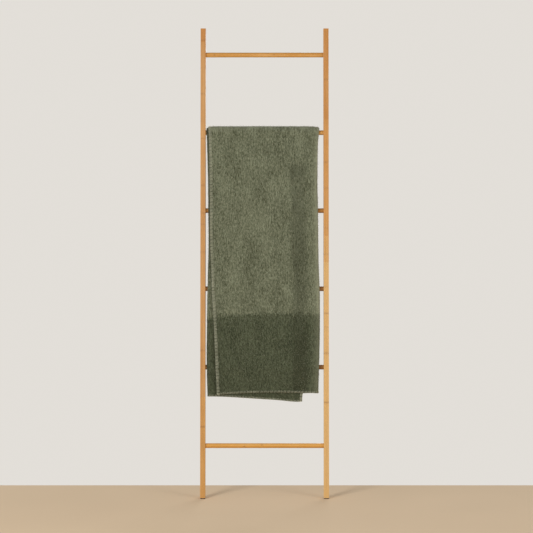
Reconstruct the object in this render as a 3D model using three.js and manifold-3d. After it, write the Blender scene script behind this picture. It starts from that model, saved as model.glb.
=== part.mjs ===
// A wool throw, folded in thirds, on a knock-down bamboo ladder that leans on a wall.
// Millimetres. +Z is up, +X is to the viewer's right and +Y runs from the viewer to the wall.
// The ladder is modelled upright, with its floor point at z = 0, and then leant back as one group.

import * as THREE from "three";
import { mergeVertices } from "three/addons/utils/BufferGeometryUtils.js";
import Module from "manifold-3d";

// Ladder
const LADDER_WIDTH = 500; // over the rails' outer faces
const LEAN = THREE.MathUtils.degToRad(6.4); // from the vertical
const RAIL_WIDTH = 20;
const RAIL_DEPTH = 30;
const RAIL_EDGE_RADIUS = 1.5;
const RUNG_COUNT = 6;
const RUNG_PITCH = 305; // one foot
const FIRST_RUNG_BELOW_TOP = 102;
const LAST_RUNG_ABOVE_FLOOR = 203; // along the rail
const RUNG_DIAMETER = 19;
const RUNG_EDGE = 0.8; // chamfer at each rung end
const THROW_RUNG = 2; // the throw hangs over this rung, counted from the top
const LAST_FRONT_RUNG = 5; // the throw's front flap leans on the rungs down to this one

// Joinery of rung and rail
const SOCKET_DEPTH = 8;
const BOLT_DIAMETER = 6;
const BOLT_HEAD_DIAMETER = 11;
const BOLT_HEAD_HEIGHT = 3;
const BOLT_GRIP = 11; // how far the bolt goes into its insert
const HEAD_BELOW_FACE = 0.5;
const HEX_ACROSS_CORNERS = 4.6;
const HEX_DEPTH = 1.8;
const INSERT_WALL = 1.2;
const INSERT_LENGTH = 13;
const INSERT_BORE_SPARE = 3; // bore left behind the insert for the bolt's end
const CHAMFER = 0.5;
const CLEARANCE = 0.3; // between neighbours that touch on the real object

// Pads
const PAD_THICKNESS = 3;
const PAD_INSET = 0.5;
const PAD_CORNER_RADIUS = 2;
const BUMPER_DIAMETER = 14;
const BUMPER_THICKNESS = 2.5;
const BUMPER_BELOW_TOP = 12;

// Throw
const CLOTH_LENGTH = 1800;
const FOLDED_WIDTH = 432;
const PLY_THICKNESS = 4.1;
const PLIES = 3; // the cloth is folded in thirds, with its folds down the two sides
const HEM_BELOW_RUNG = 135; // from the last rung that the front flap leans on to the lowest hem
const HEM_STEP = 19; // how far each ply's front hem stops above the ply behind it
const THROW_OFFSET = -4; // the folded throw lies a little to the left of the ladder's middle

const ROUND_SEGMENTS = 16;
const RUNG_SEGMENTS = 28;
const ARC_SEGMENTS = 24;

const COLOURS = {
  rail: 0xd2a068,
  rung: 0xcf9a5a,
  steel: 0x8d8f92,
  brass: 0xb59a55,
  rubber: 0x3a2c22,
  felt: 0x8a7a66,
  cloth: 0x62664e,
};

const wasm = await Module();
wasm.setup();

// Sizes that follow from the driving ones
const rungSpan = (RUNG_COUNT - 1) * RUNG_PITCH;
const ladderLength = FIRST_RUNG_BELOW_TOP + rungSpan + LAST_RUNG_ABOVE_FLOOR;
const railMiddle = (LADDER_WIDTH - RAIL_WIDTH) / 2;
const railInner = LADDER_WIDTH / 2 - RAIL_WIDTH;
const rungRadius = RUNG_DIAMETER / 2;
const socketRadius = rungRadius + CLEARANCE;
const rungHalfLength = railInner + SOCKET_DEPTH - CLEARANCE;
const boltRadius = BOLT_DIAMETER / 2;
const boltHoleRadius = boltRadius + CLEARANCE;
const headRadius = BOLT_HEAD_DIAMETER / 2;
const headSeat = LADDER_WIDTH / 2 - HEAD_BELOW_FACE - BOLT_HEAD_HEIGHT;
const insertInner = boltRadius + CLEARANCE;
const insertOuter = insertInner + INSERT_WALL;
const insertMouth = rungHalfLength - CHAMFER;
const insertBoreRadius = insertOuter + CLEARANCE;
const insertBoreDepth = rungHalfLength - insertMouth + INSERT_LENGTH + INSERT_BORE_SPARE;
const boltLength = headSeat - insertMouth + BOLT_GRIP;
const throwThickness = PLIES * PLY_THICKNESS;

// Height of a rung's axis along the rail, with rung 1 at the top
const rungHeight = (number) => ladderLength - FIRST_RUNG_BELOW_TOP - (number - 1) * RUNG_PITCH;

function toSolid(geometry) {
  const plain = geometry.clone();
  plain.deleteAttribute("normal");
  plain.deleteAttribute("uv");
  const merged = mergeVertices(plain, 1e-4);
  return new wasm.Manifold(new wasm.Mesh({
    numProp: 3,
    vertProperties: new Float32Array(merged.attributes.position.array),
    triVerts: new Uint32Array(merged.index.array),
  }));
}

function toGeometry(solid) {
  const mesh = solid.getMesh();
  const geometry = new THREE.BufferGeometry();
  geometry.setAttribute("position", new THREE.BufferAttribute(mesh.vertProperties, 3));
  geometry.setIndex(new THREE.BufferAttribute(mesh.triVerts, 1));
  geometry.computeVertexNormals();
  return geometry;
}

function subtract(geometry, cutters) {
  const result = cutters.reduce((solid, cutter) => solid.subtract(toSolid(cutter)), toSolid(geometry));
  return toGeometry(result);
}

function material(color, roughness, metalness = 0) {
  return new THREE.MeshStandardMaterial({ color, roughness, metalness });
}

function named(name, geometry, look) {
  const mesh = new THREE.Mesh(geometry, look);
  mesh.name = name;
  return mesh;
}

// A cylinder along X, from x = from to x = to
function rodAlongX(radius, from, to, segments = ROUND_SEGMENTS) {
  const geometry = new THREE.CylinderGeometry(radius, radius, to - from, segments);
  geometry.rotateZ(-Math.PI / 2);
  return geometry.translate((from + to) / 2, 0, 0);
}

// A lathe turned about X: each point is [x, radius]
function turnedAlongX(points, segments = ROUND_SEGMENTS) {
  const profile = points.map(([x, radius]) => new THREE.Vector2(radius, x));
  return new THREE.LatheGeometry(profile, segments).rotateZ(-Math.PI / 2);
}

function roundedRectangle(width, depth, radius) {
  const [x, y] = [width / 2, depth / 2];
  const shape = new THREE.Shape();
  shape.moveTo(x, radius - y);
  shape.absarc(x - radius, y - radius, radius, 0, Math.PI / 2);
  shape.absarc(radius - x, y - radius, radius, Math.PI / 2, Math.PI);
  shape.absarc(radius - x, radius - y, radius, Math.PI, 1.5 * Math.PI);
  shape.absarc(x - radius, radius - y, radius, 1.5 * Math.PI, 2 * Math.PI);
  return shape;
}

// The space below a level plane at the given height over the floor, in the upright ladder's frame
function belowLevel(height) {
  const size = 4 * RAIL_DEPTH;
  const block = new THREE.BoxGeometry(size, size, size).translate(0, 0, height - size / 2);
  return block.rotateX(LEAN);
}

// The left rail, moved to x = 0 with its inner face towards +X: sockets, bolt holes and counterbores
function railGeometry() {
  const outline = roundedRectangle(RAIL_WIDTH, RAIL_DEPTH, RAIL_EDGE_RADIUS);
  const blank = new THREE.ExtrudeGeometry(outline, {
    depth: ladderLength + RAIL_DEPTH,
    bevelEnabled: false,
    curveSegments: 3,
  }).translate(0, 0, -RAIL_DEPTH);
  const cutters = [belowLevel(PAD_THICKNESS + CLEARANCE)];
  const half = RAIL_WIDTH / 2;
  const seat = headSeat - railMiddle - CLEARANCE;
  for (let number = 1; number <= RUNG_COUNT; number += 1) {
    const height = rungHeight(number);
    const holes = [
      rodAlongX(socketRadius, half - SOCKET_DEPTH, half + CLEARANCE, RUNG_SEGMENTS),
      rodAlongX(boltHoleRadius, -half, half),
      rodAlongX(headRadius + CLEARANCE, -half - CLEARANCE, -seat),
    ];
    cutters.push(...holes.map((hole) => hole.translate(0, 0, height)));
  }
  return subtract(blank, cutters);
}

// A dowel along X with chamfered ends, bored at both ends for the inserts
function rungGeometry() {
  const end = rungHalfLength;
  const blank = turnedAlongX([
    [-end, 0],
    [-end, rungRadius - RUNG_EDGE],
    [RUNG_EDGE - end, rungRadius],
    [end - RUNG_EDGE, rungRadius],
    [end, rungRadius - RUNG_EDGE],
    [end, 0],
  ], RUNG_SEGMENTS);
  const past = end + CLEARANCE;
  return subtract(blank, [
    rodAlongX(insertBoreRadius, end - insertBoreDepth, past),
    rodAlongX(insertBoreRadius, -past, insertBoreDepth - end),
  ]);
}

// A sleeve on the X axis, just inside the rung's right-hand end, with its lead-in at the back
function insertGeometry() {
  const mouth = insertMouth;
  const back = mouth - INSERT_LENGTH;
  return turnedAlongX([
    [back, insertInner],
    [back, insertOuter - CHAMFER],
    [back + CHAMFER, insertOuter],
    [mouth, insertOuter],
    [mouth, insertInner],
    [back, insertInner],
  ]);
}

// A low-head bolt on the X axis, driven in from the right-hand rail's outer face
function boltGeometry() {
  const top = headSeat + BOLT_HEAD_HEIGHT;
  const tip = headSeat - boltLength;
  const blank = turnedAlongX([
    [tip, 0],
    [tip, boltRadius - CHAMFER],
    [tip + CHAMFER, boltRadius],
    [headSeat, boltRadius],
    [headSeat, headRadius],
    [top - CHAMFER, headRadius],
    [top, headRadius - CHAMFER],
    [top, 0],
  ]);
  return subtract(blank, [rodAlongX(HEX_ACROSS_CORNERS / 2, top - HEX_DEPTH, top + CLEARANCE, 6)]);
}

// A level pad under one foot, with its underside on the floor
function footPadGeometry() {
  const width = RAIL_WIDTH - 2 * PAD_INSET;
  const depth = RAIL_DEPTH / Math.cos(LEAN) - 2 * PAD_INSET;
  return new THREE.ExtrudeGeometry(roundedRectangle(width, depth, PAD_CORNER_RADIUS), {
    depth: PAD_THICKNESS,
    bevelEnabled: false,
    curveSegments: 3,
  });
}

// A disc that stands on a rail's back face, on the Y axis of the upright ladder's frame
function wallBumperGeometry() {
  const radius = BUMPER_DIAMETER / 2;
  const front = RAIL_DEPTH / 2 + CLEARANCE;
  const back = front + BUMPER_THICKNESS;
  const profile = [
    [0, front],
    [radius, front],
    [radius, back - CHAMFER],
    [radius - CHAMFER, back],
    [0, back],
  ];
  return new THREE.LatheGeometry(profile.map(([r, y]) => new THREE.Vector2(r, y)), ROUND_SEGMENTS);
}

// Where the upright ladder's point (y, z) comes to once the ladder leans
function leant(y, z) {
  return new THREE.Vector2(y * Math.cos(LEAN) + z * Math.sin(LEAN), z * Math.cos(LEAN) - y * Math.sin(LEAN));
}

// One side of the hanging cloth, as (y, z) points from its front hem over the rung to its back hem,
// at the given distance from the rungs' axes
function drapeLine(radius) {
  const rung = leant(0, rungHeight(THROW_RUNG));
  const last = leant(0, rungHeight(LAST_FRONT_RUNG));
  const slope = rung.distanceTo(last);
  const around = (Math.PI / 2 - LEAN) * radius;
  const arc = Array.from({ length: ARC_SEGMENTS + 1 }, (_, step) => {
    const angle = (Math.PI - LEAN) * (1 - step / ARC_SEGMENTS);
    return new THREE.Vector2(rung.x + radius * Math.cos(angle), rung.y + radius * Math.sin(angle));
  });
  // here the sloping stretch turns to hang straight down, just clear of the last rung
  const bend = new THREE.Vector2(last.x - radius, last.y + radius * Math.tan(LEAN / 2));
  const frontLength = around + slope + HEM_BELOW_RUNG;
  const backDrop = CLOTH_LENGTH - frontLength - (Math.PI / 2) * radius;
  return [
    new THREE.Vector2(bend.x, bend.y - HEM_BELOW_RUNG),
    bend,
    ...arc,
    new THREE.Vector2(rung.x + radius, rung.y - backDrop),
  ];
}

// The three plies together: a stepped hem in front, and one straight hem behind
function throwGeometry() {
  const inner = rungRadius + CLEARANCE;
  const innerLine = drapeLine(inner);
  const outerLine = drapeLine(inner + throwThickness);
  const middleLine = drapeLine(inner + throwThickness / 2);
  const frontHem = middleLine[0].y;
  const backHem = middleLine.at(-1).y;
  const steps = [];
  for (let ply = 0; ply < PLIES; ply += 1) {
    const y = innerLine[0].x - ply * PLY_THICKNESS;
    const z = frontHem + ply * HEM_STEP;
    steps.push(new THREE.Vector2(y, z), new THREE.Vector2(y - PLY_THICKNESS, z));
  }
  const outline = [
    ...steps,
    ...outerLine.slice(1, -1),
    new THREE.Vector2(outerLine.at(-1).x, backHem),
    new THREE.Vector2(innerLine.at(-1).x, backHem),
    ...innerLine.slice(1, -1).reverse(),
  ];
  const geometry = new THREE.ExtrudeGeometry(new THREE.Shape(outline), {
    depth: FOLDED_WIDTH,
    bevelEnabled: false,
  });
  // the outline's (y, z) become the model's Y and Z, and the extrusion runs along X
  geometry.applyMatrix4(new THREE.Matrix4().set(0, 0, 1, 0, 1, 0, 0, 0, 0, 1, 0, 0, 0, 0, 0, 1));
  return geometry.translate(THROW_OFFSET - FOLDED_WIDTH / 2, 0, 0);
}

function buildLadder() {
  const ladder = new THREE.Group();
  const rail = railGeometry();
  const rung = rungGeometry();
  const insert = insertGeometry();
  const bolt = boltGeometry();
  const bumper = wallBumperGeometry();
  for (const [side, sign] of [["left", -1], ["right", 1]]) {
    const railShape = sign < 0 ? rail : mirrored(rail);
    const railMesh = named(`${side}_rail`, railShape, material(COLOURS.rail, 0.5));
    railMesh.position.x = sign * railMiddle;
    ladder.add(railMesh);
    const bumperMesh = named(`wall_bumper_${side}`, bumper, material(COLOURS.felt, 0.95));
    bumperMesh.position.set(sign * railMiddle, 0, ladderLength - BUMPER_BELOW_TOP);
    ladder.add(bumperMesh);
    for (let number = 1; number <= RUNG_COUNT; number += 1) {
      const fasteners = [
        named(`bolt_${side}_${number}`, bolt, material(COLOURS.steel, 0.35, 1)),
        named(`insert_${side}_${number}`, insert, material(COLOURS.brass, 0.4, 1)),
      ];
      for (const mesh of fasteners) {
        mesh.position.z = rungHeight(number);
        mesh.rotation.z = sign > 0 ? 0 : Math.PI;
        ladder.add(mesh);
      }
    }
  }
  for (let number = 1; number <= RUNG_COUNT; number += 1) {
    const rungMesh = named(`rung_${number}`, rung, material(COLOURS.rung, 0.5));
    rungMesh.position.z = rungHeight(number);
    ladder.add(rungMesh);
  }
  ladder.rotation.x = -LEAN;
  return ladder;
}

// The same shape seen in a mirror at x = 0, with its faces still pointing out
function mirrored(geometry) {
  const copy = geometry.clone().scale(-1, 1, 1);
  const index = copy.index.array;
  for (let i = 0; i < index.length; i += 3) {
    [index[i], index[i + 1]] = [index[i + 1], index[i]];
  }
  copy.computeVertexNormals();
  return copy;
}

function buildFootPads() {
  const pads = new THREE.Group();
  for (const [side, sign] of [["left", -1], ["right", 1]]) {
    const pad = named(`foot_pad_${side}`, footPadGeometry(), material(COLOURS.rubber, 0.9));
    pad.position.x = sign * railMiddle;
    pads.add(pad);
  }
  return pads;
}

const object = new THREE.Group();
object.add(buildLadder(), buildFootPads(), named("throw", throwGeometry(), material(COLOURS.cloth, 1)));

// The origin is on the floor under the middle of the whole object
const bounds = new THREE.Box3().setFromObject(object, true);
object.position.y = -(bounds.min.y + bounds.max.y) / 2;

export default object;
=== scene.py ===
"""A brushed wool throw, folded in thirds and hung over a leaning bamboo ladder.

Metres, +Z up, +X to the viewer's right, +Y towards the wall that the ladder leans on.
"""
import math

import bmesh
import bpy
import numpy as np
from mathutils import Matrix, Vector


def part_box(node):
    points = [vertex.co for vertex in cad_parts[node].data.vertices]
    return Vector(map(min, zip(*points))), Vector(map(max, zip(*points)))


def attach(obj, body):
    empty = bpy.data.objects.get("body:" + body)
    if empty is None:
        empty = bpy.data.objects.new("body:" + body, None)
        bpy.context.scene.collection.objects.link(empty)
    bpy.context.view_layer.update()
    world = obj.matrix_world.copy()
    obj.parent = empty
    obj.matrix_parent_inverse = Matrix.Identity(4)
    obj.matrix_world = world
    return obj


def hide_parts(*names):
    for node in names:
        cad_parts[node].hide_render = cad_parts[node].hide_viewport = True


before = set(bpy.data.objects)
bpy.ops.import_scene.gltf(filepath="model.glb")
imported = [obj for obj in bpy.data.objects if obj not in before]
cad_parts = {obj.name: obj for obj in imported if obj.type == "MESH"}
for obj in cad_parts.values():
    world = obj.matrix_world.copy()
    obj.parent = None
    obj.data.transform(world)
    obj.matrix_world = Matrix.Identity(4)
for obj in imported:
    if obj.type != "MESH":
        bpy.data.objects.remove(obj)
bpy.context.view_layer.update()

SIDES = ("left", "right")
RUNGS = range(1, 7)


# ---------------------------------------------------------------- places taken from the frame

def rung_axis(number):
    """(y, z) of a rung's axis, which runs along X."""
    low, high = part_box(f"rung_{number}")
    return np.array([(low.y + high.y) / 2, (low.z + high.z) / 2])


TOP_RUNG, THROW_RUNG, LAST_RUNG = rung_axis(1), rung_axis(2), rung_axis(5)
UP_SLOPE = (TOP_RUNG - rung_axis(6)) / np.linalg.norm(TOP_RUNG - rung_axis(6))
LEAN = math.atan2(UP_SLOPE[0], UP_SLOPE[1])
RUNG_LOW, RUNG_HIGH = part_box("rung_2")
RUNG_RADIUS = (RUNG_HIGH.z - RUNG_LOW.z) / 2
WALL_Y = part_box("wall_bumper_left")[1].y


# ---------------------------------------------------------------- camera, light and floor

CAMERA_DISTANCE = 6.0
CAMERA_HEIGHT = 1.3957
CAMERA_SIDE = 0.0074
CAMERA_DOWN = math.radians(4.781)
CAMERA_LENS = 104.22
SENSOR = 36.0


def make_camera():
    data = bpy.data.cameras.new("camera")
    data.lens = CAMERA_LENS
    data.sensor_width = SENSOR
    data.clip_end = 100
    camera = bpy.data.objects.new("camera", data)
    bpy.context.scene.collection.objects.link(camera)
    camera.location = (CAMERA_SIDE, -CAMERA_DISTANCE, CAMERA_HEIGHT)
    camera.rotation_euler = (math.pi / 2 - CAMERA_DOWN, 0, 0)
    bpy.context.scene.camera = camera


def area_light(name, place, target, size, power, colour=(1, 1, 1)):
    data = bpy.data.lights.new(name, "AREA")
    data.shape = "RECTANGLE"
    data.size, data.size_y = size
    data.energy = power
    data.color = colour
    light = bpy.data.objects.new(name, data)
    bpy.context.scene.collection.objects.link(light)
    light.location = place
    light.rotation_euler = (Vector(target) - Vector(place)).to_track_quat("-Z", "Y").to_euler()


WALL_TONE = (0.765, 0.735, 0.69, 1)
AMBIENT = 0.39


def make_light():
    """A large soft key from the left, a weaker one from the right, and one behind for the back."""
    area_light("key", (-3.3, -4.1, 2.3), (0, 0, 0.8), (1.6, 1.8), 160, (1, 0.985, 0.96))
    area_light("fill", (3.7, -3.1, 1.1), (0, 0, 0.7), (1.8, 1.8), 68, (1, 0.99, 0.975))
    area_light("back_fill", (1.5, 4.4, 2.6), (0, 0, 1.1), (2.6, 2.6), 62)
    world = bpy.data.worlds.new("surround")
    world.use_nodes = True
    tree = world.node_tree
    tree.nodes.clear()
    seen = tree.nodes.new("ShaderNodeBackground")
    seen.inputs["Color"].default_value = WALL_TONE
    lit = tree.nodes.new("ShaderNodeBackground")
    lit.inputs["Color"].default_value = (1, 0.985, 0.965, 1)
    lit.inputs["Strength"].default_value = AMBIENT
    path = tree.nodes.new("ShaderNodeLightPath")
    mix = tree.nodes.new("ShaderNodeMixShader")
    out = tree.nodes.new("ShaderNodeOutputWorld")
    tree.links.new(path.outputs["Is Camera Ray"], mix.inputs[0])
    tree.links.new(lit.outputs[0], mix.inputs[1])
    tree.links.new(seen.outputs[0], mix.inputs[2])
    tree.links.new(mix.outputs[0], out.inputs[0])
    bpy.context.scene.world = world
    bpy.context.scene.view_settings.view_transform = "Standard"


# ---------------------------------------------------------------- shader helpers

class Shader:
    """A material with short ways to add and join nodes. An input may be a number, a colour or a socket."""

    def __init__(self, name):
        self.material = bpy.data.materials.new(name)
        self.material.use_nodes = True
        self.tree = self.material.node_tree
        self.tree.nodes.clear()
        self.out = self.tree.nodes.new("ShaderNodeOutputMaterial")
        self.surface = self.tree.nodes.new("ShaderNodeBsdfPrincipled")
        self.tree.links.new(self.surface.outputs[0], self.out.inputs["Surface"])

    def put(self, socket, value):
        if isinstance(value, bpy.types.NodeSocket):
            self.tree.links.new(value, socket)
        elif isinstance(value, (tuple, list)) and len(value) == 3 and socket.type == "RGBA":
            socket.default_value = (*value, 1)
        else:
            socket.default_value = value

    def set(self, **values):
        for name, value in values.items():
            self.put(self.surface.inputs[name.replace("_", " ")], value)

    def node(self, kind, inputs=(), **settings):
        made = self.tree.nodes.new("ShaderNode" + kind)
        for name, value in settings.items():
            setattr(made, name, value)
        for key, value in dict(inputs).items():
            self.put(made.inputs[key], value)
        return made

    def math(self, operation, a, b=0.0, clamp=False):
        return self.node("Math", {0: a, 1: b}, operation=operation, use_clamp=clamp).outputs[0]

    def mix(self, share, a, b):
        made = self.node("Mix", {0: share, 6: a, 7: b}, data_type="RGBA")
        return made.outputs[2]

    def vector(self, x, y, z):
        return self.node("CombineXYZ", {0: x, 1: y, 2: z}).outputs[0]

    def parts(self, vector):
        return self.node("SeparateXYZ", {0: vector}).outputs

    def scaled(self, vector, scale):
        return self.node("VectorMath", {0: vector, 1: scale}, operation="MULTIPLY").outputs[0]

    def noise(self, vector, scale=1.0, detail=2.0, roughness=0.5, distortion=0.0):
        inputs = {"Vector": vector, "Scale": scale, "Detail": detail, "Roughness": roughness}
        inputs["Distortion"] = distortion
        return self.node("TexNoise", inputs).outputs[0]

    def between(self, value, low, high):
        """0 at low, 1 at high, smooth in between."""
        inputs = {0: value, 1: low, 2: high}
        return self.node("MapRange", inputs, interpolation_type="SMOOTHSTEP").outputs[0]

    def remap(self, value, low, high, to_low, to_high):
        return self.node("MapRange", {0: value, 1: low, 2: high, 3: to_low, 4: to_high}).outputs[0]

    def random(self, value):
        return self.node("TexWhiteNoise", {"W": value}, noise_dimensions="1D").outputs[0]

    def bump(self, height, strength, distance, normal=None):
        inputs = {"Height": height, "Strength": strength, "Distance": distance}
        if normal is not None:
            inputs["Normal"] = normal
        return self.node("Bump", inputs).outputs[0]


# ---------------------------------------------------------------- bamboo

LAYER, LAYERS = 0.005, 6  # thickness and number of the bamboo strips that the rails are laminated from
DOWEL_STRIP = 0.0064  # width of the strips in the dowels
STRIP_SHIFT = 0.11  # most that a strip's joints are moved along it
PALE_FIBRE, DARK_FIBRE, VESSEL = (0.90, 0.62, 0.30), (0.30, 0.115, 0.020), (0.30, 0.13, 0.035)
NODE_BAND, NODE_RING, GLUE = (0.36, 0.15, 0.035), (0.22, 0.085, 0.020), (0.33, 0.15, 0.045)


def nearest(s, along, heights):
    """Distance to the nearest of the given places."""
    distance = 1.0
    for height in heights:
        gap = s.math("ABSOLUTE", s.math("SUBTRACT", along, height))
        distance = s.math("MINIMUM", gap, distance)
    return distance


def strip_colour(s, along, segments):
    """Strips joined end to end: each (start, colour) reaches up to the next one's start."""
    colour = segments[0][1]
    for start, tone in segments[1:]:
        colour = s.mix(s.between(along, start - 0.0006, start + 0.0006), colour, tone)
    return colour


def lengthwise(s, along, across, deep, length_scale, cross_scale, detail, roughness):
    """Noise drawn out along the fibres."""
    place = s.scaled(s.vector(along, across, deep), (length_scale, cross_scale, cross_scale))
    return s.noise(place, 1.0, detail, roughness)


def bamboo(s, along, across, deep, segments, nodes, strip, seed):
    """Laminated bamboo: joined strips, lengthwise fibres, dark vessels and node bands."""
    # every strip but strip 0, the rails' front one, is moved along, so its joints and nodes lie elsewhere
    moved = s.math("MULTIPLY", s.random(s.math("ADD", strip, seed + 0.5)), STRIP_SHIFT)
    shifted = s.math("ADD", along, s.math("MULTIPLY", moved, s.math("MINIMUM", strip, 1.0)))
    own = s.random(s.math("ADD", strip, seed))
    fine = lengthwise(s, along, across, deep, 9.0, 1500.0, 3.0, 0.6)
    broad = lengthwise(s, along, across, deep, 3.0, 330.0, 2.0, 0.5)
    drift = s.noise(s.vector(s.math("ADD", along, seed * 3.7), 0.0, 0.0), 7.0, 2.0, 0.5)
    colour = strip_colour(s, shifted, segments)
    tone = s.math("ADD", s.remap(broad, 0.3, 0.7, -0.20, 0.20), s.remap(fine, 0.3, 0.7, -0.17, 0.17))
    tone = s.math("ADD", tone, s.remap(drift, 0.3, 0.7, -0.12, 0.12))
    tone = s.math("ADD", tone, s.math("MULTIPLY", s.math("SUBTRACT", own, 0.5), 0.30))
    colour = s.mix(s.math("MULTIPLY", tone, 1.0, clamp=True), colour, PALE_FIBRE)
    colour = s.mix(s.math("MULTIPLY", tone, -1.0, clamp=True), colour, DARK_FIBRE)
    off_node = s.math("ADD", nearest(s, shifted, nodes), s.remap(fine, 0.3, 0.7, -0.0014, 0.0014))
    off_node = s.math("ADD", off_node, s.remap(broad, 0.3, 0.7, -0.0016, 0.0016))
    band = s.between(off_node, 0.0085, 0.0020)
    ring = s.between(off_node, 0.0024, 0.0006)
    colour = s.mix(s.math("MULTIPLY", band, 0.24), colour, NODE_BAND)
    colour = s.mix(s.math("MULTIPLY", ring, 0.36), colour, NODE_RING)
    vessels = lengthwise(s, along, across, deep, 40.0, 2600.0, 1.0, 0.5)
    colour = s.mix(s.math("MULTIPLY", s.between(vessels, 0.62, 0.74), 0.36), colour, VESSEL)
    s.set(Base_Color=colour, Coat_Weight=0.25, Coat_Roughness=0.28)
    s.set(Roughness=s.remap(s.math("ADD", fine, broad), 0.6, 1.4, 0.38, 0.56))
    height = s.math("ADD", s.math("MULTIPLY", fine, 0.4), s.math("MULTIPLY", band, 0.8))
    s.set(Normal=s.bump(height, 0.35, 0.0004))
    return colour


def glue_line(s, place, size, colour):
    """A thin dark line between two strips."""
    part = s.math("FRACT", s.math("DIVIDE", place, size))
    seam = s.between(s.math("ABSOLUTE", s.math("SUBTRACT", part, 0.5)), 0.455, 0.5)
    s.set(Base_Color=s.mix(s.math("MULTIPLY", seam, 0.32), colour, GLUE))


def rail_bamboo(side, segments, nodes, seed):
    """The rail's strips lie flat, one behind the other, so the front shows one wide strip."""
    s = Shader(f"{side}_rail_bamboo")
    turned = s.node("VectorRotate", {"Vector": s.node("TexCoord").outputs["Object"], "Angle": LEAN},
                    rotation_type="X_AXIS")
    x, deep, along = s.parts(turned.outputs[0])
    axis = TOP_RUNG[0] * math.cos(LEAN) - TOP_RUNG[1] * math.sin(LEAN)
    behind = s.math("ADD", deep, LAYERS / 2 * LAYER - axis)
    strip = s.math("FLOOR", s.math("DIVIDE", behind, LAYER))
    colour = bamboo(s, along, x, deep, segments, nodes, strip, seed)
    glue_line(s, s.math("ADD", behind, 10 * LAYER), LAYER, colour)
    return s.material


def dowel_bamboo(number, tone, nodes):
    """A dowel turned from a laminated blank."""
    s = Shader(f"rung_bamboo_{number}")
    x, y, z = s.parts(s.node("TexCoord").outputs["Object"])
    height = s.math("ADD", z, 0.0013 * number)
    level = s.math("FLOOR", s.math("DIVIDE", height, DOWEL_STRIP))
    file = s.math("FLOOR", s.math("DIVIDE", s.math("ADD", y, 0.5), DOWEL_STRIP))
    strip = s.math("ADD", s.math("ABSOLUTE", level), s.math("MULTIPLY", file, 7.3))
    # tone is the dowel's colour, with painted shade in it for rungs 3 to 5
    colour = bamboo(s, x, y, z, [(-1.0, tone)], nodes, strip, 3.0 + number)
    glue_line(s, height, DOWEL_STRIP, colour)
    s.set(Coat_Weight=0.5, Coat_Roughness=0.16)
    return s.material


# ---------------------------------------------------------------- small parts' materials

def rubber():
    s = Shader("pad_rubber")
    place = s.node("TexCoord").outputs["Object"]
    grain = s.noise(place, 900.0, 3.0, 0.6)
    dust = s.noise(place, 60.0, 4.0, 0.6)
    s.set(Base_Color=s.mix(s.between(dust, 0.45, 0.75), (0.030, 0.020, 0.014), (0.075, 0.058, 0.045)))
    s.set(Roughness=s.remap(grain, 0.3, 0.7, 0.7, 0.95), Normal=s.bump(grain, 0.4, 0.0003))
    return s.material


def felt():
    s = Shader("bumper_felt")
    place = s.node("TexCoord").outputs["Object"]
    fibres = s.noise(place, 700.0, 5.0, 0.7, 1.5)
    clumps = s.noise(place, 180.0, 2.0, 0.5)
    tone = s.math("ADD", s.math("MULTIPLY", fibres, 0.6), s.math("MULTIPLY", clumps, 0.4))
    s.set(Base_Color=s.mix(s.between(tone, 0.35, 0.65), (0.16, 0.12, 0.085), (0.34, 0.28, 0.21)))
    s.set(Roughness=s.remap(clumps, 0.3, 0.7, 0.85, 1.0), Normal=s.bump(fibres, 0.8, 0.0006))
    s.set(Sheen_Weight=0.3, Sheen_Roughness=0.5)
    return s.material


def metal(name, bright, dull, roughness):
    """Turned metal with fine rings about X and a patchy, slightly dulled plating."""
    s = Shader(name)
    place = s.node("TexCoord").outputs["Object"]
    x, y, z = s.parts(place)
    rings = s.noise(s.vector(s.math("MULTIPLY", x, 4000.0), 0.0, 0.0), 1.0, 2.0)
    patches = s.noise(place, 150.0, 3.0, 0.6)
    s.set(Base_Color=s.mix(s.between(patches, 0.4, 0.7), bright, dull), Metallic=1.0)
    s.set(Roughness=s.remap(patches, 0.3, 0.7, roughness - 0.08, roughness + 0.14))
    s.set(Normal=s.bump(rings, 0.25, 0.0001))
    return s.material


# ---------------------------------------------------------------- wool

BORDER = 0.3055  # length of the darker border at each end of the throw
SHEET_WIDTH, SHEET_LENGTH = 1.2, 1.8
# the darkest and palest colours of the heather, in the field and in the border
FIELD_WOOL = (0.033, 0.039, 0.017), (0.227, 0.248, 0.166)
BORDER_WOOL = (0.013, 0.018, 0.006), (0.096, 0.113, 0.066)
# colours that the cloth's painted shade and painted highlight are mixed towards
PAINTED_SHADE_WOOL, PAINTED_LIGHT_WOOL = (0.018, 0.021, 0.008), (0.38, 0.39, 0.27)
UNDYED_HAIR, BROWN_HAIR = (0.40, 0.40, 0.30), (0.10, 0.068, 0.040)


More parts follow.
